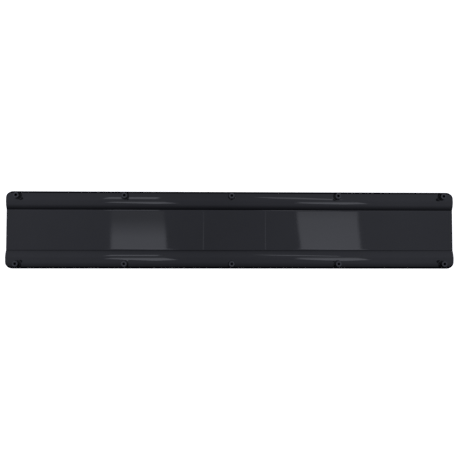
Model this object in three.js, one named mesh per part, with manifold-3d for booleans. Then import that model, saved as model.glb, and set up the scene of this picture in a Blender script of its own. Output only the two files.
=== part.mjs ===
// Kick plate: a long moulded plastic guard, lying on its show face with its back up.
// The back carries two full-length rounded ridges and ten screw posts, and a threaded
// insert sits in the top of each post. Millimetres, +X along the plate, +Z out of its back.
// The origin is the middle of the show face.

import * as THREE from 'three';
import { mergeVertices } from 'three/addons/utils/BufferGeometryUtils.js';
import Module from 'manifold-3d';

const wasm = await Module();
wasm.setup();

// ---- Driving dimensions -------------------------------------------------------------

const PLATE_LENGTH = 610;
const PLATE_WIDTH = 105;
const CORNER_RADIUS = 8;
const WALL = 2.6;

// The flat panel between the ridges, and the two fine raised lines that cross it.
const PANEL_HALF = 28;
const FOOT_GROOVE_WIDTH = 0.6;
const FOOT_GROOVE_DEPTH = 0.3;
const LINE_PLACES = [-38.3, 46.2];
const LINE_WIDTH = 1.2;
const LINE_HEIGHT = 0.1;

// Each ridge is two arcs that meet at its crest: a steep one towards the panel and a
// gentler one towards the long edge, which ends in a steep bevel.
const RIDGE_RISE = 3.7;
const CREST_INSET = 13.9;
const EDGE_BEVEL = 2.4;
const EDGE_BEVEL_DEGREES = 50;
const EDGE_CHAMFER = 0.5;
const RIM_WIDTH = 2.6;

// Screw posts, in two rows of five.
const POST_COLUMNS = 5;
const POST_PITCH = 144.4;
const POST_EDGE_INSET = 6.5;
const COLLAR_BASE_RADIUS = 4.6;
const COLLAR_TOP_RADIUS = 4.4;
const COLLAR_TOP = 7.8;
const SOCKET_RADIUS = 2.9;
const SOCKET_DEPTH = 3;
const POST_BASE_RADIUS = 4.2;
const POST_TOP_RADIUS = 3.9;
const POST_TOP = 15.9;
const PILOT_RADIUS = 2;
const PILOT_DEPTH = 9;

// Threaded inserts.
const INSERT_BORE_RADIUS = 1.65;
const INSERT_BODY_RADIUS = 2.4;
const INSERT_FLANGE_RADIUS = 3.8;
const INSERT_FLANGE = 0.8;
const INSERT_LENGTH = 6.5;

const GAP = 0.3;
const ARC_STEPS = 8;
const POST_SIDES = 24;
const INSERT_SIDES = 20;
const OVERSHOOT = 2;

const HALF_WIDTH = PLATE_WIDTH / 2;
const CREST_Y = HALF_WIDTH - CREST_INSET;
const CREST_Z = WALL + RIDGE_RISE;
const POST_Y = HALF_WIDTH - POST_EDGE_INSET;

// ---- Materials ----------------------------------------------------------------------

function finish(color, roughness, metalness) {
  return new THREE.MeshStandardMaterial({ color, roughness, metalness });
}

// ---- Solids -------------------------------------------------------------------------

// A three.js geometry as a manifold solid.
function toSolid(geometry) {
  const plain = geometry.index ? geometry.toNonIndexed() : geometry.clone();
  plain.deleteAttribute('normal');
  plain.deleteAttribute('uv');
  const merged = mergeVertices(plain, 1e-5);
  return new wasm.Manifold(new wasm.Mesh({
    numProp: 3,
    vertProperties: new Float32Array(merged.attributes.position.array),
    triVerts: new Uint32Array(merged.index.array),
  }));
}

// A manifold solid as a three.js geometry.
function toGeometry(solid) {
  const mesh = solid.getMesh();
  const geometry = new THREE.BufferGeometry();
  geometry.setAttribute('position', new THREE.BufferAttribute(mesh.vertProperties, 3));
  geometry.setIndex(new THREE.BufferAttribute(mesh.triVerts, 1));
  geometry.computeVertexNormals();
  return geometry;
}

// A closed outline in (y, z), extruded along X over the given length.
function alongX(points, length) {
  const geometry = new THREE.ExtrudeGeometry(new THREE.Shape(points), {
    depth: length, bevelEnabled: false,
  });
  geometry.translate(0, 0, -length / 2);
  geometry.applyMatrix4(new THREE.Matrix4().makeBasis(
    new THREE.Vector3(0, 1, 0), new THREE.Vector3(0, 0, 1), new THREE.Vector3(1, 0, 0)));
  return toSolid(geometry);
}

// A solid of revolution about Z from a profile of [radius, height] pairs.
function turned(profile, sides) {
  const points = profile.map(([radius, height]) => new THREE.Vector2(radius, height));
  const geometry = new THREE.LatheGeometry(points, sides);
  geometry.rotateX(Math.PI / 2);
  return toSolid(geometry);
}

// ---- Plate section ------------------------------------------------------------------

// Radius of the arc that falls by rise over run from a level crest.
function crestArc(run, rise) {
  return (run * run + rise * rise) / (2 * rise);
}

const INNER_ARC = crestArc(CREST_Y - PANEL_HALF, RIDGE_RISE);
const OUTER_ARC = crestArc(CREST_INSET, RIDGE_RISE);

// Height of the back surface on a ridge, or of a surface that lies depth below it.
function ridgeHeight(y, depth = 0) {
  const arc = y < CREST_Y ? INNER_ARC : OUTER_ARC;
  return CREST_Z - arc + Math.sqrt((arc - depth) ** 2 - (y - CREST_Y) ** 2);
}

// Evenly spaced points on the ridge from one y to another, both ends included.
function ridgePoints(from, to, depth = 0) {
  const points = [];
  for (let step = 0; step <= ARC_STEPS; step += 1) {
    const y = from + ((to - from) * step) / ARC_STEPS;
    points.push(new THREE.Vector2(y, ridgeHeight(y, depth)));
  }
  return points;
}

// The back surface from the panel to the bottom of the long edge, on the +Y side.
function backHalf() {
  const bevelStart = HALF_WIDTH - EDGE_BEVEL;
  const bevelDrop = EDGE_BEVEL * Math.tan(THREE.MathUtils.degToRad(EDGE_BEVEL_DEGREES));
  const grooveZ = WALL - FOOT_GROOVE_DEPTH;
  const points = [
    new THREE.Vector2(PANEL_HALF - FOOT_GROOVE_WIDTH, WALL),
    new THREE.Vector2(PANEL_HALF - FOOT_GROOVE_WIDTH / 2, grooveZ),
    new THREE.Vector2(PANEL_HALF, grooveZ),
    ...ridgePoints(PANEL_HALF, CREST_Y),
    ...ridgePoints(CREST_Y, bevelStart).slice(1),
    new THREE.Vector2(HALF_WIDTH, ridgeHeight(bevelStart) - bevelDrop),
    new THREE.Vector2(HALF_WIDTH, EDGE_CHAMFER),
    new THREE.Vector2(HALF_WIDTH - EDGE_CHAMFER, 0),
  ];
  return points;
}

function mirrored(points) {
  return points.map((point) => new THREE.Vector2(-point.x, point.y)).reverse();
}

// The section with a flat underside: both halves of the back, closed along the show face.
function blankSection() {
  const half = backHalf();
  return [...mirrored(half), ...half].reverse();
}

// The hollow under one ridge, which keeps the wall even. Side is 1 or -1.
function hollowSection(side) {
  const reach = Math.sqrt((INNER_ARC - WALL) ** 2 - (INNER_ARC - CREST_Z) ** 2);
  const inner = CREST_Y - reach;
  const outer = HALF_WIDTH - RIM_WIDTH;
  const roof = [
    ...ridgePoints(inner, CREST_Y, WALL),
    ...ridgePoints(CREST_Y, outer, WALL).slice(1),
  ];
  const points = [
    ...roof,
    new THREE.Vector2(outer, -OVERSHOOT),
    new THREE.Vector2(inner, -OVERSHOOT),
  ];
  return side > 0 ? points.reverse() : points.map((point) => new THREE.Vector2(-point.x, point.y));
}

// ---- Sub-parts ----------------------------------------------------------------------

// Centres of the posts, seen from the back, row by row.
function postPlaces() {
  const places = [];
  for (const side of [1, -1]) {
    for (let column = 0; column < POST_COLUMNS; column += 1) {
      places.push([(column - (POST_COLUMNS - 1) / 2) * POST_PITCH, side * POST_Y]);
    }
  }
  return places;
}

function planOutline() {
  const halfLength = PLATE_LENGTH / 2;
  const straightX = halfLength - CORNER_RADIUS;
  const straightY = HALF_WIDTH - CORNER_RADIUS;
  const shape = new THREE.Shape();
  shape.absarc(straightX, straightY, CORNER_RADIUS, 0, Math.PI / 2);
  shape.absarc(-straightX, straightY, CORNER_RADIUS, Math.PI / 2, Math.PI);
  shape.absarc(-straightX, -straightY, CORNER_RADIUS, Math.PI, 1.5 * Math.PI);
  shape.absarc(straightX, -straightY, CORNER_RADIUS, 1.5 * Math.PI, 2 * Math.PI);
  const geometry = new THREE.ExtrudeGeometry(shape, {
    depth: CREST_Z + 2 * OVERSHOOT, bevelEnabled: false, curveSegments: ARC_STEPS,
  });
  geometry.translate(0, 0, -OVERSHOOT);
  return toSolid(geometry);
}

// The short cone that each post stands on, down to well inside the ridge.
function collar(x, y) {
  return turned([
    [0, EDGE_CHAMFER],
    [COLLAR_BASE_RADIUS, EDGE_CHAMFER],
    [COLLAR_BASE_RADIUS, ridgeHeight(POST_Y)],
    [COLLAR_TOP_RADIUS, COLLAR_TOP],
    [0, COLLAR_TOP],
  ], POST_SIDES).translate([x, y, 0]);
}

function socket(x, y) {
  return turned([
    [0, COLLAR_TOP - SOCKET_DEPTH],
    [SOCKET_RADIUS, COLLAR_TOP - SOCKET_DEPTH],
    [SOCKET_RADIUS, COLLAR_TOP + OVERSHOOT],
    [0, COLLAR_TOP + OVERSHOOT],
  ], POST_SIDES).translate([x, y, 0]);
}

function witnessLine(x) {
  const length = 2 * (PANEL_HALF - FOOT_GROOVE_WIDTH);
  const geometry = new THREE.BoxGeometry(LINE_WIDTH, length, 2 * LINE_HEIGHT);
  geometry.translate(x, 0, WALL);
  return toSolid(geometry);
}

function facePlate() {
  let plate = alongX(blankSection(), PLATE_LENGTH).intersect(planOutline());
  for (const [x, y] of postPlaces()) {
    plate = plate.add(collar(x, y));
  }
  for (const side of [1, -1]) {
    plate = plate.subtract(alongX(hollowSection(side), PLATE_LENGTH + 2 * OVERSHOOT));
  }
  for (const [x, y] of postPlaces()) {
    plate = plate.subtract(socket(x, y));
  }
  for (const x of LINE_PLACES) {
    plate = plate.add(witnessLine(x));
  }
  return toGeometry(plate);
}

// A tapered tube with a spigot below, a seat for the insert above and a blind pilot bore.
function screwPost() {
  const foot = COLLAR_TOP + GAP;
  const spigot = SOCKET_RADIUS - GAP;
  const seat = INSERT_BODY_RADIUS + GAP;
  const seatBottom = POST_TOP - INSERT_LENGTH - GAP;
  return toGeometry(turned([
    [0, COLLAR_TOP - SOCKET_DEPTH + GAP],
    [spigot, COLLAR_TOP - SOCKET_DEPTH + GAP],
    [spigot, foot],
    [POST_BASE_RADIUS, foot],
    [POST_TOP_RADIUS, POST_TOP],
    [seat, POST_TOP],
    [seat, seatBottom],
    [PILOT_RADIUS, seatBottom],
    [PILOT_RADIUS, POST_TOP - PILOT_DEPTH],
    [0, POST_TOP - PILOT_DEPTH],
  ], POST_SIDES));
}

// A flanged sleeve, whose flange covers the end of the post.
function threadedInsert() {
  const flangeBottom = POST_TOP + GAP;
  const flangeTop = flangeBottom + INSERT_FLANGE;
  const bottom = POST_TOP - INSERT_LENGTH;
  return toGeometry(turned([
    [INSERT_BORE_RADIUS, bottom],
    [INSERT_BODY_RADIUS, bottom],
    [INSERT_BODY_RADIUS, flangeBottom],
    [INSERT_FLANGE_RADIUS, flangeBottom],
    [INSERT_FLANGE_RADIUS, flangeTop],
    [INSERT_BORE_RADIUS, flangeTop],
    [INSERT_BORE_RADIUS, bottom],
  ], INSERT_SIDES));
}

// ---- Assembly -----------------------------------------------------------------------

function named(name, geometry, material) {
  const mesh = new THREE.Mesh(geometry, material);
  mesh.name = name;
  return mesh;
}

function kickPlate() {
  const group = new THREE.Group();
  group.add(named('face_plate', facePlate(), finish(0x2b2c30, 0.12, 0)));
  postPlaces().forEach(([x, y], index) => {
    const row = y > 0 ? 'upper' : 'lower';
    const label = `${row}_${(index % POST_COLUMNS) + 1}`;
    const station = new THREE.Group();
    station.position.set(x, y, 0);
    station.add(named(`screw_post_${label}`, screwPost(), finish(0x26272a, 0.3, 0)));
    station.add(named(`threaded_insert_${label}`, threadedInsert(), finish(0x4a4b4e, 0.45, 0.8)));
    group.add(station);
  });
  return group;
}

export default kickPlate();
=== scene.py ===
"""Kick plate, seen from its back, on a pale floor under two pairs of softboxes.

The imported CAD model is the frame. The plate, the posts and the inserts are rebuilt here
as fine smooth meshes in the same places, and stand in for their faceted CAD nodes.
"""
import math

import bmesh
import bpy
import numpy as np
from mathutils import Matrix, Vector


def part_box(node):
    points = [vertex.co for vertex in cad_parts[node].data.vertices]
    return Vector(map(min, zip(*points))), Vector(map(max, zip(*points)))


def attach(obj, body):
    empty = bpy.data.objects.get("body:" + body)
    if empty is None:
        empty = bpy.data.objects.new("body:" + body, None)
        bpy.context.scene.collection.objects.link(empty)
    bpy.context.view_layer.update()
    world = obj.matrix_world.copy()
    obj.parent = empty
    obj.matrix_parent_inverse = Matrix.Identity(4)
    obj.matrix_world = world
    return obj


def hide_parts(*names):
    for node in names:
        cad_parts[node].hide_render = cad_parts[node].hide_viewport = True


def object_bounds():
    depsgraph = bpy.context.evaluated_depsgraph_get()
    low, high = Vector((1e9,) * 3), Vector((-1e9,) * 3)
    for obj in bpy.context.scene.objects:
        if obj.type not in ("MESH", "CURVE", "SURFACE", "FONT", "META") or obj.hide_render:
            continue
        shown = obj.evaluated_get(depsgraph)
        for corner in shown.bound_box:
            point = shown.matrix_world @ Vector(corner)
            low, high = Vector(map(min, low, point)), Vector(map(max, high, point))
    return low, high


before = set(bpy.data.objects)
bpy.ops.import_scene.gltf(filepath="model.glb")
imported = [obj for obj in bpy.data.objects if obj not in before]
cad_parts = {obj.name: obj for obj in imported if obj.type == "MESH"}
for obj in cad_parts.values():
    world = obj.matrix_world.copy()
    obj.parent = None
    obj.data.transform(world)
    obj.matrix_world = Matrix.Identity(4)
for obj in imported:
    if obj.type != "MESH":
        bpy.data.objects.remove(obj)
CAD_LOW, CAD_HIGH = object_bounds()

MM = 0.001
BODY = "root"
ROWS = ("upper", "lower")
COLUMNS = (1, 2, 3, 4, 5)

# ---- Plate dimensions, in millimetres ------------------------------------------------

PLATE_LOW, PLATE_HIGH = (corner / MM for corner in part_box("face_plate"))
HALF_LENGTH = (PLATE_HIGH.x - PLATE_LOW.x) / 2
HALF_WIDTH = (PLATE_HIGH.y - PLATE_LOW.y) / 2
COLLAR_TOP = PLATE_HIGH.z
CORNER_RADIUS = 8.0
WALL = 2.6
PANEL_HALF = 28.0
RIDGE_RISE = 3.7
CREST_Y = HALF_WIDTH - 13.9
CREST_Z = WALL + RIDGE_RISE
RIM_WIDTH = 2.6
GAP = 0.3

# The groove at each ridge's foot.
GROOVE_DEPTH = 0.3
GROOVE_HALF = 0.3
GROOVE_Y = PANEL_HALF - GROOVE_HALF

# The bevel round the back: its width along the long edges and at the ends, how much it
# adds to the slope, and how softly it starts. The show face's edge is rounded.
BEVEL_LONG = 2.7
BEVEL_END = 0.8
BEVEL_SLOPE = 0.7
BEVEL_EASE = 0.6
SHOW_ROUND = 0.4

# Fine raised lines across the panel: their places along it, half width and height.
LINE_PLACES = (-38.3, 46.2)
LINE_HALF = 0.6
LINE_HEIGHT = 0.055

# Collars and the square patches of the mesh round them.
COLLAR_RADIUS = 4.55
COLLAR_TOP_RADIUS = 4.4
COLLAR_TOP_ROUND = 0.2
COLLAR_FILLET_REACH = 5.3
SOCKET_RADIUS = 2.9
SOCKET_DEPTH = 3.0
SOCKET_EASE = 0.2
PATCH_HALF = 7.0
PATCH_EDGE_GAP = 0.25

# Spacing and counts of the plate's mesh stations, and how near counts as the same place.
PANEL_COARSE_HALF = 24
FOOT_FINE = 0.6
STEP_RUN = 0.1
PLATE_STEPS = 41
PATCH_STEPS = 15
LINE_STEPS = 15
LINE_REACH = 1.4
JOIN_STEPS = 5
END_STEPS = 6
NEAR = 1e-4

# Posts and inserts. An ease is the size of a small chamfer, and the relief is a waist
# round the insert's body.
POST_SIDES = 64
POST_TOP_RADIUS = 3.9
POST_EASE = 0.15
POST_SHOULDER = 0.35
SPIGOT_EASE = 0.3
TAPER_STEPS = 7
PILOT_RADIUS = 2.0
PILOT_DEPTH = 9.0
PILOT_POINT = 1.2
INSERT_SIDES = 48
INSERT_SEAT = 2.7
INSERT_SEAT_DEPTH = 6.8
INSERT_FLANGE = 0.8
INSERT_BODY_RADIUS = 2.4
INSERT_BORE_RADIUS = 1.65
INSERT_EASE = 0.2
RELIEF_LOW = 2.4
RELIEF_HIGH = 3.8
RELIEF_DEPTH = 0.3
THREAD_INSET = 0.25
THREAD_PITCH = 0.7
THREAD_DEPTH = 0.22
THREAD_STEPS = 6

SHARP_ANGLE = math.radians(35)


def arc_radius(run, rise):
    """Radius of the arc that rises this much over this run, and is level at its top."""
    return (run * run + rise * rise) / (2 * rise)


INNER_ARC = arc_radius(CREST_Y - PANEL_HALF, RIDGE_RISE)
OUTER_ARC = arc_radius(HALF_WIDTH - CREST_Y, RIDGE_RISE)

# Where the hollow under each ridge starts and ends, across the plate.
HOLLOW_START = CREST_Y - math.sqrt((INNER_ARC - WALL) ** 2 - (INNER_ARC - CREST_Z) ** 2)
HOLLOW_END = HALF_WIDTH - RIM_WIDTH


def ridge_height(y, depth=0.0):
    """Height of the ridge's surface, or of the surface that lies depth below it."""
    arc = np.where(y < CREST_Y, INNER_ARC, OUTER_ARC)
    inside = np.maximum((arc - depth) ** 2 - (y - CREST_Y) ** 2, 0)
    return CREST_Z - arc + np.sqrt(inside)


def edge_distance(x, y):
    """Distance inside the rounded outline, and how far the nearest edge is a long one."""
    out_x = np.abs(x) - (HALF_LENGTH - CORNER_RADIUS)
    out_y = np.abs(y) - (HALF_WIDTH - CORNER_RADIUS)
    corner = (out_x > 0) & (out_y > 0)
    inside = np.where(corner, np.hypot(out_x, out_y), np.maximum(out_x, out_y))
    lean = np.where(corner, out_y / np.maximum(np.hypot(out_x, out_y), 1e-9), out_y > out_x)
    return CORNER_RADIUS - inside, lean.astype(float) ** 2


def bevel_drop(distance, width):
    """How far the bevel lies below the surface, at a distance from the edge."""
    reach = np.clip(width - distance, 0, None)
    return BEVEL_SLOPE * reach * reach / (reach + BEVEL_EASE)


def round_drop(distance, radius):
    """How far a quarter-round edge lies below the surface, at a distance from the edge."""
    reach = np.clip(radius - distance, 0, radius)
    return radius - np.sqrt(np.maximum(radius ** 2 - reach ** 2, 0))


def back_height(x, y):
    """The back surface without its collars."""
    across = np.abs(y)
    z = np.where(across < PANEL_HALF, WALL, ridge_height(across))
    dip = np.clip(np.abs(across - GROOVE_Y) / GROOVE_HALF, 0, 1)
    z = z - GROOVE_DEPTH * 0.5 * (1 + np.cos(np.pi * dip))
    for place in LINE_PLACES:
        near = np.clip(np.abs(x - place) / LINE_HALF, 0, 1)
        fade = np.clip((GROOVE_Y - GROOVE_HALF - across) / LINE_HALF, 0, 1)
        z = z + LINE_HEIGHT * 0.5 * (1 + np.cos(np.pi * near)) * fade
    distance, lean = edge_distance(x, y)
    return z - bevel_drop(distance, BEVEL_END + (BEVEL_LONG - BEVEL_END) * lean)


def show_height(x, y):
    """The show face: flat, with a hollow under each ridge that keeps the wall even."""
    across = np.abs(y)
    roof = np.maximum(ridge_height(across, WALL), 0)
    hollow = (across > HOLLOW_START) & (across < HOLLOW_END)
    z = np.where(hollow, roof, 0.0)
    distance, _ = edge_distance(x, y)
    return z + round_drop(distance, SHOW_ROUND)


# ---- Mesh tools ----------------------------------------------------------------------


class Builder:
    """Collects vertices in millimetres and faces, and makes one object of them."""

    def __init__(self):
        self.vertices = []
        self.faces = []

    def add(self, x, y, z):
        self.vertices.append((float(x) * MM, float(y) * MM, float(z) * MM))
        return len(self.vertices) - 1

    def face(self, *corners):
        """A face, without repeated corners."""
        ring = [c for i, c in enumerate(corners) if c != corners[i - 1]]
        if len(ring) > 2:
            self.faces.append(ring)

    def strip(self, first, second, closed=False):
        """Quads between two equal rows of vertices."""
        count = len(first)
        for i in range(count if closed else count - 1):
            j = (i + 1) % count
            self.face(first[i], first[j], second[j], second[i])

    def finish(self, name, material, nodes):
        """Makes the object, which stands in for the named CAD nodes."""
        mesh = bpy.data.meshes.new(name)
        mesh.from_pydata(self.vertices, [], self.faces)
        mesh.validate()
        mesh.update()
        mesh.shade_smooth()
        mesh.set_sharp_from_angle(angle=SHARP_ANGLE)
        mesh.materials.append(material)
        piece = bpy.data.objects.new(name, mesh)
        bpy.context.collection.objects.link(piece)
        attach(piece, BODY)
        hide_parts(*nodes)
        return piece


def spread(*stretches):
    """Sorted stations from (start, end, count) stretches, each with both ends."""
    values = [v for start, end, count in stretches for v in np.linspace(start, end, count)]
    return np.unique(np.round(values, 5))


# ---- Posts' places -------------------------------------------------------------------


def post_axis(row, column):
    """x and y of a post's axis."""
    low, high = (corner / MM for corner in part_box(f"screw_post_{row}_{column}"))
    return (low.x + high.x) / 2, (low.y + high.y) / 2


POSTS = [(row, column, *post_axis(row, column)) for row in ROWS for column in COLUMNS]
POST_Y = POSTS[0][3]
POST_COLUMNS_X = [x for row, _, x, _ in POSTS if row == ROWS[0]]

# ---- Plate ---------------------------------------------------------------------------


def half_rows():
    """Stations across the plate from its middle to one long edge."""
    patch_low = POST_Y - PATCH_HALF
    patch_high = HALF_WIDTH - PATCH_EDGE_GAP
    groove = GROOVE_Y - GROOVE_HALF
    foot = PANEL_HALF + FOOT_FINE
    bevel = HALF_WIDTH - BEVEL_LONG
    return np.unique(np.round(np.concatenate([
        spread((0, PANEL_COARSE_HALF, 5), (PANEL_COARSE_HALF, groove, 3), (groove, PANEL_HALF, 9)),
        spread((PANEL_HALF, foot, 5), (foot, patch_low, 18), (patch_low, bevel, 20)),
        spread((HOLLOW_START - STEP_RUN, HOLLOW_START, 2), (HOLLOW_END, HOLLOW_END + STEP_RUN, 2)),
        bevel + BEVEL_LONG * np.linspace(0, 1, 11) ** 1.4,
        [patch_high],
    ]), 5))


def end_reach(y):
    """How far along X the outline reaches at a station across."""
    out = max(abs(y) - (HALF_WIDTH - CORNER_RADIUS), 0)
    return HALF_LENGTH - CORNER_RADIUS + math.sqrt(max(CORNER_RADIUS ** 2 - out ** 2, 0))


def patch_columns(x):
    """Stations along the plate across the patch round a post."""
    return np.linspace(x - PATCH_HALF, x + PATCH_HALF, PATCH_STEPS)


def middle_columns():
    """Stations along the plate between the outer sides of the end patches."""
    edge = POST_COLUMNS_X[-1] + PATCH_HALF
    values = [np.linspace(-edge, edge, PLATE_STEPS)]
    values += [patch_columns(x) for x in POST_COLUMNS_X]
    line = LINE_HALF * np.linspace(-LINE_REACH, LINE_REACH, LINE_STEPS)
    values += [x + line for x in LINE_PLACES]
    merged = np.unique(np.round(np.concatenate(values), 5))
    stray = np.zeros(len(merged), bool)
    for x in POST_COLUMNS_X:
        within = (merged > x - PATCH_HALF) & (merged < x + PATCH_HALF)
        stray |= within & ~np.isin(merged, np.round(patch_columns(x), 5))
    return merged[~stray]


def plate_grid():
    """x and y of every grid station, row by row, with the ends following the outline."""
    half = half_rows()
    rows = np.unique(np.concatenate([-half, half]))
    middle = middle_columns()
    edge = middle[-1]
    insets = np.sort(BEVEL_END * (1 - np.linspace(0, 1, END_STEPS) ** 1.5))
    xs = np.zeros((len(rows), len(middle) + 2 * (END_STEPS + JOIN_STEPS)))
    for i, y in enumerate(rows):
        outer = end_reach(y) - insets
        between = edge + (outer[-1] - edge) * np.linspace(0, 1, JOIN_STEPS + 2)[1:-1]
        end = np.concatenate([between, outer[::-1]])
        xs[i] = np.concatenate([-end[::-1], middle, end])
    ys = np.repeat(rows[:, None], xs.shape[1], axis=1)
    return xs, ys


def patch_ranges(xs, ys, x, y):
    """Grid index ranges of the square patch round a post."""
    side = 1 if y > 0 else -1
    low, high = sorted((y - side * PATCH_HALF, side * (HALF_WIDTH - PATCH_EDGE_GAP)))
    rows = np.flatnonzero((ys[:, 0] > low - NEAR) & (ys[:, 0] < high + NEAR))
    middle = xs[len(xs) // 2]
    columns = np.flatnonzero(np.abs(middle - x) < PATCH_HALF + NEAR)
    return rows[0], rows[-1], columns[0], columns[-1]


def patch_loop(r0, r1, c0, c1):
    """Grid indices round a patch, anticlockwise seen from the back."""
    loop = [(r0, c) for c in range(c0, c1)]
    loop += [(r, c1) for r in range(r0, r1)]
    loop += [(r1, c) for c in range(c1, c0, -1)]
    loop += [(r, c0) for r in range(r1, r0, -1)]
    return loop


def collar_rings(builder, loop, ids, xs, ys, x, y):
    """Fills a patch with rings that run up the collar and down into its socket."""
    dx = np.array([xs[r, c] - x for r, c in loop])
    dy = np.array([ys[r, c] - y for r, c in loop])
    far = np.hypot(dx, dy)
    ux, uy = dx / far, dy / far
    foot = np.minimum(COLLAR_FILLET_REACH, far - 0.1)
    fillet = foot - COLLAR_RADIUS

    def ring(radius, z=None, lift=0.0):
        """A ring at one height, or lifted above the plate's back."""
        px, py = x + ux * radius, y + uy * radius
        height = back_height(px, py) + lift if z is None else np.broadcast_to(z, px.shape)
        return [builder.add(*point) for point in zip(px, py, height)]

    rings = [[ids[r, c] for r, c in loop]]
    for part in (0.33, 0.67):
        rings.append(ring(far + (foot - far) * part))
    for turn in np.linspace(0, math.pi / 2, 6):
        rise = fillet * (1 - math.cos(turn))
        rings.append(ring(foot - fillet * math.sin(turn), lift=rise))
    for radius, z in (
        (COLLAR_TOP_RADIUS, COLLAR_TOP - COLLAR_TOP_ROUND),
        (COLLAR_TOP_RADIUS - COLLAR_TOP_ROUND * 0.3, COLLAR_TOP - COLLAR_TOP_ROUND * 0.3),
        (COLLAR_TOP_RADIUS - COLLAR_TOP_ROUND, COLLAR_TOP),
        (SOCKET_RADIUS + SOCKET_EASE, COLLAR_TOP),
        (SOCKET_RADIUS, COLLAR_TOP - SOCKET_EASE),
        (SOCKET_RADIUS, COLLAR_TOP - SOCKET_DEPTH),
    ):
        rings.append(ring(np.full(len(loop), radius), z))
    for outer, inner in zip(rings, rings[1:]):
        builder.strip(outer, inner, closed=True)
    centre = builder.add(x, y, COLLAR_TOP - SOCKET_DEPTH)
    last = rings[-1]
    for i, corner in enumerate(last):
        builder.face(corner, last[(i + 1) % len(last)], centre)


def grid_faces(builder, ids, skipped, flip):
    """One quad for each cell of the grid that isn't skipped."""
    for r in range(ids.shape[0] - 1):
        for c in range(ids.shape[1] - 1):
            if skipped[r, c]:
                continue
            quad = (ids[r, c], ids[r, c + 1], ids[r + 1, c + 1], ids[r + 1, c])
            builder.face(*(quad[::-1] if flip else quad))


def outline_loop(ids):
    """Vertex indices round the grid's boundary, anticlockwise seen from the back."""
    rows, columns = ids.shape
    loop = list(ids[0, :-1]) + list(ids[:-1, -1]) + list(ids[-1, :0:-1]) + list(ids[:0:-1, 0])
    ring = []
    for index in loop:
        if not ring or ring[-1] != index:
            ring.append(index)
    return ring


def build_plate(material):
    """The moulded plate: a back, a show face and the edge between them."""
    builder = Builder()
    xs, ys = plate_grid()
    back = back_height(xs, ys)
    show = show_height(xs, ys)
    shape = xs.shape
    back_ids = np.zeros(shape, int)
    show_ids = np.zeros(shape, int)
    for r in range(shape[0]):
        for c in range(shape[1]):
            back_ids[r, c] = builder.add(xs[r, c], ys[r, c], back[r, c])
            show_ids[r, c] = builder.add(xs[r, c], ys[r, c], show[r, c])
    skipped = np.zeros((shape[0] - 1, shape[1] - 1), bool)
    for _, _, x, y in POSTS:
        r0, r1, c0, c1 = patch_ranges(xs, ys, x, y)
        skipped[r0:r1, c0:c1] = True
        collar_rings(builder, patch_loop(r0, r1, c0, c1), back_ids, xs, ys, x, y)
    grid_faces(builder, back_ids, skipped, flip=False)
    grid_faces(builder, show_ids, np.zeros_like(skipped), flip=True)
    builder.strip(outline_loop(show_ids), outline_loop(back_ids), closed=True)
    tidy_loose(builder.finish("moulded_plate", material, ["face_plate"]))


def tidy_loose(piece):
    """Drops the grid's vertices that the patches replaced, and merges doubles."""
    mesh = bmesh.new()
    mesh.from_mesh(piece.data)
    loose = [v for v in mesh.verts if not v.link_faces]
    bmesh.ops.delete(mesh, geom=loose, context="VERTS")
    bmesh.ops.remove_doubles(mesh, verts=mesh.verts, dist=1e-7)
    mesh.to_mesh(piece.data)
    mesh.free()


# ---- Turned pieces -------------------------------------------------------------------


def turned(builder, x, y, profile, sides):
    """Rings of a turned solid from (radius, height) pairs. A radius of 0 is one vertex."""
    turn = 2 * math.pi / sides
    rings = []
    for radius, z in profile:
        if radius == 0:
            rings.append([builder.add(x, y, z)] * sides)
            continue
        rings.append([
            builder.add(x + radius * math.cos(i * turn), y + radius * math.sin(i * turn), z)
            for i in range(sides)
        ])
    return rings


def build_post(row, column, x, y, material):
    """A tapered tube with eased edges, a spigot below and a bore above."""
    node = f"screw_post_{row}_{column}"
    low, high = (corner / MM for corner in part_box(node))
    base = (high.x - low.x) / 2
    top = high.z
    foot = COLLAR_TOP + GAP
    spigot = SOCKET_RADIUS - GAP
    shoulder = top - POST_SHOULDER
    seat_floor = top - INSERT_SEAT_DEPTH
    pilot_floor = top - PILOT_DEPTH
    taper = (base - POST_TOP_RADIUS) / (top - foot)
    profile = [
        (0, low.z), (spigot - SPIGOT_EASE, low.z), (spigot, low.z + SPIGOT_EASE), (spigot, foot),
        (base - POST_EASE, foot), (base, foot + POST_EASE),
    ]
    for part in np.linspace(0, 1, TAPER_STEPS)[1:]:
        z = foot + POST_EASE + (shoulder - foot - POST_EASE) * part
        profile.append((base - taper * (z - foot), z))
    rim = profile[-1][0]
    profile += [
        (rim - 0.08, top - 0.12), (rim - 0.3, top), (INSERT_SEAT + POST_EASE, top),
        (INSERT_SEAT, top - POST_EASE), (INSERT_SEAT, seat_floor), (PILOT_RADIUS, seat_floor),
        (PILOT_RADIUS, pilot_floor + PILOT_POINT), (0, pilot_floor),
    ]
    builder = Builder()
    rings = turned(builder, x, y, profile, POST_SIDES)
    for lower, upper in zip(rings, rings[1:]):
        builder.strip(lower, upper, closed=True)
    builder.finish(f"post_{row}_{column}", material, [node])


def thread_rings(builder, x, y, radius, start, end):
    """Rings down a threaded bore: the wall moves in and out along a helix."""
    count = int(round((start - end) / THREAD_PITCH * THREAD_STEPS))
    turn = 2 * math.pi / INSERT_SIDES
    rings = []
    for k in range(count + 1):
        z = start + (end - start) * k / count
        fade = min(1.0, k / THREAD_STEPS, (count - k) / THREAD_STEPS)
        ring = []
        for i in range(INSERT_SIDES):
            phase = (z / THREAD_PITCH + i / INSERT_SIDES) % 1
            depth = THREAD_DEPTH * fade * (1 - abs(2 * phase - 1))
            wall = radius + depth
            along, across = wall * math.cos(i * turn), wall * math.sin(i * turn)
            ring.append(builder.add(x + along, y + across, z))
        rings.append(ring)
    return rings


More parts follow.
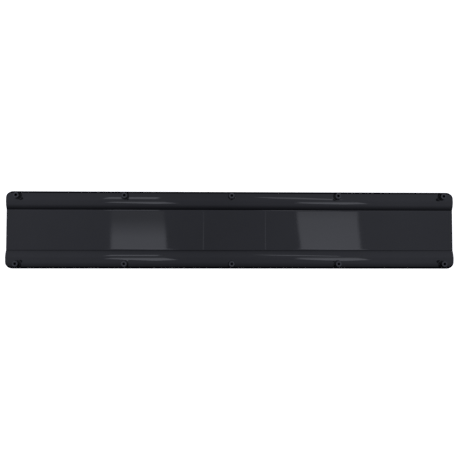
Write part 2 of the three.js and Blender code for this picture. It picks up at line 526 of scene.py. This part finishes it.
def build_insert(row, column, x, y, material):
    """A flanged sleeve with a countersunk, threaded bore."""
    node = f"threaded_insert_{row}_{column}"
    low, high = (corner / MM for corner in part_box(node))
    flange = (high.x - low.x) / 2
    top = high.z
    under = top - INSERT_FLANGE
    body = INSERT_BODY_RADIUS
    waist = body - RELIEF_DEPTH
    bore = INSERT_BORE_RADIUS
    profile = [
        (bore + THREAD_INSET, low.z), (body - INSERT_EASE, low.z), (body, low.z + INSERT_EASE),
        (body, low.z + RELIEF_LOW), (waist, low.z + RELIEF_LOW + RELIEF_DEPTH),
        (waist, low.z + RELIEF_HIGH - RELIEF_DEPTH), (body, low.z + RELIEF_HIGH),
        (body, under), (flange - 0.1, under), (flange, under + 0.1),
        (flange, top - 0.18), (flange - 0.05, top - 0.06), (flange - 0.18, top),
        (bore + 0.2, top), (bore + 0.12, top - 0.05),
    ]
    builder = Builder()
    rings = turned(builder, x, y, profile, INSERT_SIDES)
    rings += thread_rings(builder, x, y, bore, top - THREAD_INSET, low.z + THREAD_INSET)
    rings.append(rings[0])
    for lower, upper in zip(rings, rings[1:]):
        builder.strip(lower, upper, closed=True)
    builder.finish(f"insert_{row}_{column}", material, [node])


# ---- Materials -----------------------------------------------------------------------


class Nodes:
    """Short calls for a node tree."""

    def __init__(self, name):
        self.material = bpy.data.materials.new(name)
        self.material.use_nodes = True
        self.tree = self.material.node_tree
        self.shader = self.tree.nodes["Principled BSDF"]
        self.place = self.add("ShaderNodeTexCoord").outputs["Object"]

    def add(self, kind, **values):
        node = self.tree.nodes.new(kind)
        for key, value in values.items():
            setattr(node, key, value)
        return node

    def link(self, source, target):
        self.tree.links.new(source, target)

    def noise(self, scale, detail=4.0, roughness=0.5, stretch=None):
        node = self.add("ShaderNodeTexNoise")
        node.inputs["Scale"].default_value = scale
        node.inputs["Detail"].default_value = detail
        node.inputs["Roughness"].default_value = roughness
        source = self.place
        if stretch:
            mapping = self.add("ShaderNodeMapping")
            mapping.inputs["Scale"].default_value = stretch
            self.link(source, mapping.inputs["Vector"])
            source = mapping.outputs["Vector"]
        self.link(source, node.inputs["Vector"])
        return node.outputs["Fac"]

    def remap(self, source, from_low, from_high, to_low, to_high):
        node = self.add("ShaderNodeMapRange")
        for key, value in zip(("From Min", "From Max", "To Min", "To Max"),
                              (from_low, from_high, to_low, to_high)):
            node.inputs[key].default_value = value
        self.link(source, node.inputs["Value"])
        return node.outputs["Result"]

    def math(self, operation, first, second):
        node = self.add("ShaderNodeMath", operation=operation)
        for socket, value in zip(node.inputs, (first, second)):
            if isinstance(value, (int, float)):
                socket.default_value = value
            else:
                self.link(value, socket)
        return node.outputs["Value"]

    def mix(self, factor, first, second):
        node = self.add("ShaderNodeMix", data_type="RGBA")
        self.link(factor, node.inputs["Factor"])
        for key, value in (("A", first), ("B", second)):
            socket = [s for s in node.inputs if s.name == key and s.type == "RGBA"][0]
            if isinstance(value, tuple):
                socket.default_value = (*value, 1)
            else:
                self.link(value, socket)
        return [s for s in node.outputs if s.type == "RGBA"][0]

    def bump(self, height, distance, strength=1.0, normal=None):
        node = self.add("ShaderNodeBump")
        node.inputs["Distance"].default_value = distance
        node.inputs["Strength"].default_value = strength
        self.link(height, node.inputs["Height"])
        if normal is not None:
            self.link(normal, node.inputs["Normal"])
        return node.outputs["Normal"]


def painted_edge_highlight(nodes, low, high):
    """0 to 1 where the surface is sharply convex, from the mesh's own pointiness: the mask of a
    painted highlight along edges.
    """
    geometry = nodes.add("ShaderNodeNewGeometry")
    return nodes.remap(geometry.outputs["Pointiness"], low, high, 0, 1)


def plate_material():
    """Gloss black plastic with faint clouds, a painted highlight on its sharp edges, scuffs along
    the plate and a slight wave.
    """
    nodes = Nodes("plate_gloss_plastic")
    shader = nodes.shader
    cloud = nodes.noise(22, 5, 0.6)
    speck = nodes.noise(900, 3, 0.7)
    clearer = nodes.remap(cloud, 0.35, 0.65, 0, 1)
    colour = nodes.mix(clearer, (0.0050, 0.0052, 0.0062), (0.0068, 0.0071, 0.0084))
    # Painted highlight: the colour is lighter on sharply convex edges, where light would catch.
    with_painted_highlight = nodes.mix(painted_edge_highlight(nodes, 0.53, 0.6), colour, (0.014, 0.0145, 0.0165))
    nodes.link(with_painted_highlight, shader.inputs["Base Color"])
    haze = nodes.remap(cloud, 0.3, 0.7, 0.028, 0.045)
    scuffs = nodes.noise(60, 6, 0.75, stretch=(1, 14, 1))
    haze = nodes.math("ADD", haze, nodes.remap(scuffs, 0.62, 0.8, 0, 0.06))
    nodes.link(haze, shader.inputs["Roughness"])
    wave = nodes.bump(nodes.noise(16, 1, 0.4), 0.00005, 0.35)
    peel = nodes.bump(speck, 0.00001, 0.25, wave)
    nodes.link(peel, shader.inputs["Normal"])
    shader.inputs["IOR"].default_value = 1.5
    return nodes.material


def post_material():
    """Satin black plastic with fine streaks along the posts, and a painted highlight on its sharp
    edges.
    """
    nodes = Nodes("post_satin_plastic")
    shader = nodes.shader
    cloud = nodes.noise(140, 4, 0.6)
    streak = nodes.noise(260, 5, 0.7, stretch=(1, 1, 0.12))
    colour = nodes.mix(cloud, (0.0042, 0.0044, 0.0050), (0.0066, 0.0068, 0.0076))
    # Painted highlight: the colour is lighter on sharply convex edges, where light would catch.
    with_painted_highlight = nodes.mix(painted_edge_highlight(nodes, 0.54, 0.62), colour, (0.02, 0.0205, 0.0225))
    nodes.link(with_painted_highlight, shader.inputs["Base Color"])
    nodes.link(nodes.remap(streak, 0.3, 0.75, 0.2, 0.36), shader.inputs["Roughness"])
    nodes.link(nodes.bump(streak, 0.00003, 0.4), shader.inputs["Normal"])
    return nodes.material


def insert_material():
    """Dull blackened metal, with a painted highlight on its sharp edges."""
    nodes = Nodes("insert_blackened_metal")
    shader = nodes.shader
    cloud = nodes.noise(700, 5, 0.65)
    colour = nodes.mix(cloud, (0.036, 0.037, 0.040), (0.072, 0.073, 0.077))
    # Painted highlight: lighter colour on the flange's and bore's sharp edges, which makes a light
    # ring round each insert.
    with_painted_highlight = nodes.mix(painted_edge_highlight(nodes, 0.53, 0.6), colour, (0.13, 0.13, 0.135))
    nodes.link(with_painted_highlight, shader.inputs["Base Color"])
    shader.inputs["Metallic"].default_value = 1
    nodes.link(nodes.remap(cloud, 0.3, 0.7, 0.32, 0.5), shader.inputs["Roughness"])
    nodes.link(nodes.bump(cloud, 0.00002, 0.5), shader.inputs["Normal"])
    return nodes.material


# ---- Stage ---------------------------------------------------------------------------

FLOOR_REACH = 30.0
FLOOR_DROP = 0.0004
BACKDROP_REACH = 28.0
BACKDROP_LOW = -0.5
BACKDROP_SIDES = 48
SOFTBOX_HEIGHT = 1.4
GLOW_REACH = 1.0
GLOW_MOST = 2.0
LIGHT_TINT = (0.95, 0.98, 1.11)
SKY_TINT = (0.95, 0.985, 1.16, 1)
SKY_STRENGTH = 1.2

CAMERA_LENS = 50.651
CAMERA_PLACE = (-0.02728, -0.0382, 0.8859)
CAMERA_TURN = (0.0434, -0.0286, 0.0009)


def emission(name, colour, strength):
    """A material that only glows."""
    material = bpy.data.materials.new(name)
    material.use_nodes = True
    tree = material.node_tree
    tree.nodes.clear()
    glow = tree.nodes.new("ShaderNodeEmission")
    glow.inputs["Color"].default_value = (*colour, 1)
    glow.inputs["Strength"].default_value = strength
    output = tree.nodes.new("ShaderNodeOutputMaterial")
    tree.links.new(glow.outputs["Emission"], output.inputs["Surface"])
    return material


def stage_object(name, vertices, faces, material):
    """A mesh of the studio, which isn't part of the object."""
    mesh = bpy.data.meshes.new(name)
    mesh.from_pydata(vertices, [], faces)
    mesh.materials.append(material)
    thing = bpy.data.objects.new(name, mesh)
    bpy.context.collection.objects.link(thing)
    return thing


def build_floor():
    """A pale floor that glows a little, so that it stays clean white round the plate."""
    material = bpy.data.materials.new("floor_pale")
    material.use_nodes = True
    shader = material.node_tree.nodes["Principled BSDF"]
    shader.inputs["Base Color"].default_value = (0.9, 0.9, 0.9, 1)
    shader.inputs["Roughness"].default_value = 1
    shader.inputs["Specular IOR Level"].default_value = 0
    shader.inputs["Emission Color"].default_value = (1, 1, 1, 1)
    shader.inputs["Emission Strength"].default_value = 0.9
    reach = FLOOR_REACH
    corners = [(-reach, -reach, 0), (reach, -reach, 0), (reach, reach, 0), (-reach, reach, 0)]
    floor = stage_object("floor", corners, [(0, 1, 2, 3)], material)
    floor.location.z = CAD_LOW.z - FLOOR_DROP
    floor.visible_glossy = False
    floor.visible_diffuse = False


def build_backdrop():
    """A pale wall all round, which only the camera sees."""
    sides = BACKDROP_SIDES
    reach = BACKDROP_REACH
    turns = [2 * math.pi * i / sides for i in range(sides)]
    low = [(reach * math.cos(turn), reach * math.sin(turn), BACKDROP_LOW) for turn in turns]
    high = [(x, y, reach) for x, y, _ in low]
    faces = [(i, (i + 1) % sides, sides + (i + 1) % sides, sides + i) for i in range(sides)]
    wall = stage_object("backdrop", low + high, faces, emission("backdrop_pale", (1, 1, 1), 1.0))
    wall.visible_glossy = False
    wall.visible_diffuse = False
    wall.visible_shadow = False
    wall.visible_transmission = False


def build_softbox(name, outline, glow):
    """A glowing panel over the plate, facing down, that only reflections and surfaces see.

    glow holds (y, strength) stops, because a softbox dims towards the edge of its cloth.
    """
    material = emission(name + "_glow", LIGHT_TINT, 1)
    tree = material.node_tree
    place = tree.nodes.new("ShaderNodeTexCoord")
    split = tree.nodes.new("ShaderNodeSeparateXYZ")
    tree.links.new(place.outputs["Object"], split.inputs["Vector"])
    across = tree.nodes.new("ShaderNodeMapRange")
    across.inputs["From Min"].default_value = -GLOW_REACH
    across.inputs["From Max"].default_value = GLOW_REACH
    tree.links.new(split.outputs["Y"], across.inputs["Value"])
    stops = [((y / GLOW_REACH + 1) / 2, strength / GLOW_MOST) for y, strength in glow]
    scale = tree.nodes.new("ShaderNodeMath")
    scale.operation = "MULTIPLY"
    scale.inputs[1].default_value = GLOW_MOST
    tree.links.new(ramp(tree, across.outputs["Result"], stops), scale.inputs[0])
    tree.links.new(scale.outputs["Value"], tree.nodes["Emission"].inputs["Strength"])
    corners = [(x, y, 0) for x, y in outline]
    box = stage_object(name, corners, [tuple(range(len(corners)))], material)
    box.location.z = SOFTBOX_HEIGHT
    box.visible_camera = False


def ramp(tree, source, stops):
    """A black-to-white ramp through (place, value) stops."""
    node = tree.nodes.new("ShaderNodeValToRGB")
    elements = node.color_ramp.elements
    while len(elements) > 1:
        elements.remove(elements[-1])
    elements[0].position = stops[0][0]
    elements[0].color = (stops[0][1],) * 3 + (1,)
    for position, value in stops[1:]:
        element = elements.new(position)
        element.color = (value,) * 3 + (1,)
    tree.links.new(source, node.inputs["Fac"])
    return node.outputs["Color"]


def build_world():
    """A soft grey studio: lighter overhead and above the plate, dark below it."""
    world = bpy.data.worlds.new("studio")
    bpy.context.scene.world = world
    world.use_nodes = True
    tree = world.node_tree
    background = tree.nodes["Background"]
    place = tree.nodes.new("ShaderNodeTexCoord")
    split = tree.nodes.new("ShaderNodeSeparateXYZ")
    tree.links.new(place.outputs["Generated"], split.inputs["Vector"])

    def unit(axis):
        """0 to 1 along one axis of the sky's direction."""
        remap = tree.nodes.new("ShaderNodeMapRange")
        remap.inputs["From Min"].default_value = -1
        tree.links.new(split.outputs[axis], remap.inputs["Value"])
        return remap.outputs["Result"]

    across = ramp(tree, unit("Y"), [
        (0.0, 0.0), (0.05, 0.07), (0.1, 0.15), (0.155, 0.24), (0.22, 0.35), (0.29, 0.46),
        (0.36, 0.5), (0.5, 0.5), (0.66, 0.56), (0.86, 0.52), (0.93, 0.46), (0.97, 0.36),
        (1.0, 0.2),
    ])
    along = ramp(tree, unit("X"), [
        (0.0, 0.2), (0.2, 0.8), (0.36, 1.0), (0.5, 0.8), (0.64, 1.0), (0.8, 0.8), (1.0, 0.2),
    ])
    above = ramp(tree, unit("Z"), [(0.48, 0.0), (0.56, 1.0)])

    def times(first, second):
        """One colour multiplied by another, or by a fixed one."""
        node = tree.nodes.new("ShaderNodeMix")
        node.data_type = "RGBA"
        node.blend_type = "MULTIPLY"
        node.inputs[0].default_value = 1
        sockets = [s for s in node.inputs if s.type == "RGBA"]
        tree.links.new(first, sockets[0])
        if isinstance(second, tuple):
            sockets[1].default_value = second
        else:
            tree.links.new(second, sockets[1])
        return [s for s in node.outputs if s.type == "RGBA"][0]

    sky = times(times(times(across, along), above), SKY_TINT)
    tree.links.new(sky, background.inputs["Color"])
    background.inputs["Strength"].default_value = SKY_STRENGTH


def build_lights():
    """Two softboxes almost overhead, and two more past the plate's upper edge."""
    build_softbox("softbox_left", [
        (-0.38, 0.153), (-0.38, -0.017), (-0.402, -0.107), (-0.327, -0.237),
        (-0.225, -0.38), (-0.147, -0.24), (-0.184, -0.017), (-0.197, 0.153),
    ], [(-0.088, 1.75), (-0.007, 1.4), (0.033, 1.38), (0.098, 0.72)])
    build_softbox("softbox_right", [
        (0.273, 0.153), (0.277, 0.09), (0.289, 0.001), (0.265, -0.088), (0.333, -0.237),
        (0.45, -0.38), (0.533, -0.24), (0.501, 0.001), (0.4925, 0.09), (0.491, 0.153),
    ], [(-0.088, 1.75), (-0.007, 1.42), (0.033, 1.4), (0.098, 1.32), (0.133, 1.1)])
    build_softbox("softbox_left_high", [
        (-0.419, 0.84), (-0.419, 0.52), (-0.225, 0.52), (-0.225, 0.84),
    ], [(0.5, 1.7)])
    build_softbox("softbox_right_high", [
        (0.133, 0.93), (0.203, 0.69), (0.433, 0.43), (0.453, 0.57), (0.303, 0.85),
    ], [(0.5, 1.55)])


def build_camera():
    """The photograph's view: almost square on, a little below and left of the middle."""
    data = bpy.data.cameras.new("camera")
    data.sensor_width = 36
    data.lens = CAMERA_LENS
    data.clip_start = 0.05
    data.clip_end = 100
    camera = bpy.data.objects.new("camera", data)
    camera.location = CAMERA_PLACE
    camera.rotation_euler = CAMERA_TURN
    bpy.context.collection.objects.link(camera)
    bpy.context.scene.camera = camera
    bpy.context.scene.view_settings.view_transform = "Standard"


# ---- Assembly ------------------------------------------------------------------------


def main():
    """Builds the object, then the studio round it."""
    plate = plate_material()
    post = post_material()
    insert = insert_material()
    build_plate(plate)
    for row, column, x, y in POSTS:
        build_post(row, column, x, y, post)
        build_insert(row, column, x, y, insert)
    build_floor()
    build_backdrop()
    build_world()
    build_lights()
    build_camera()


main()
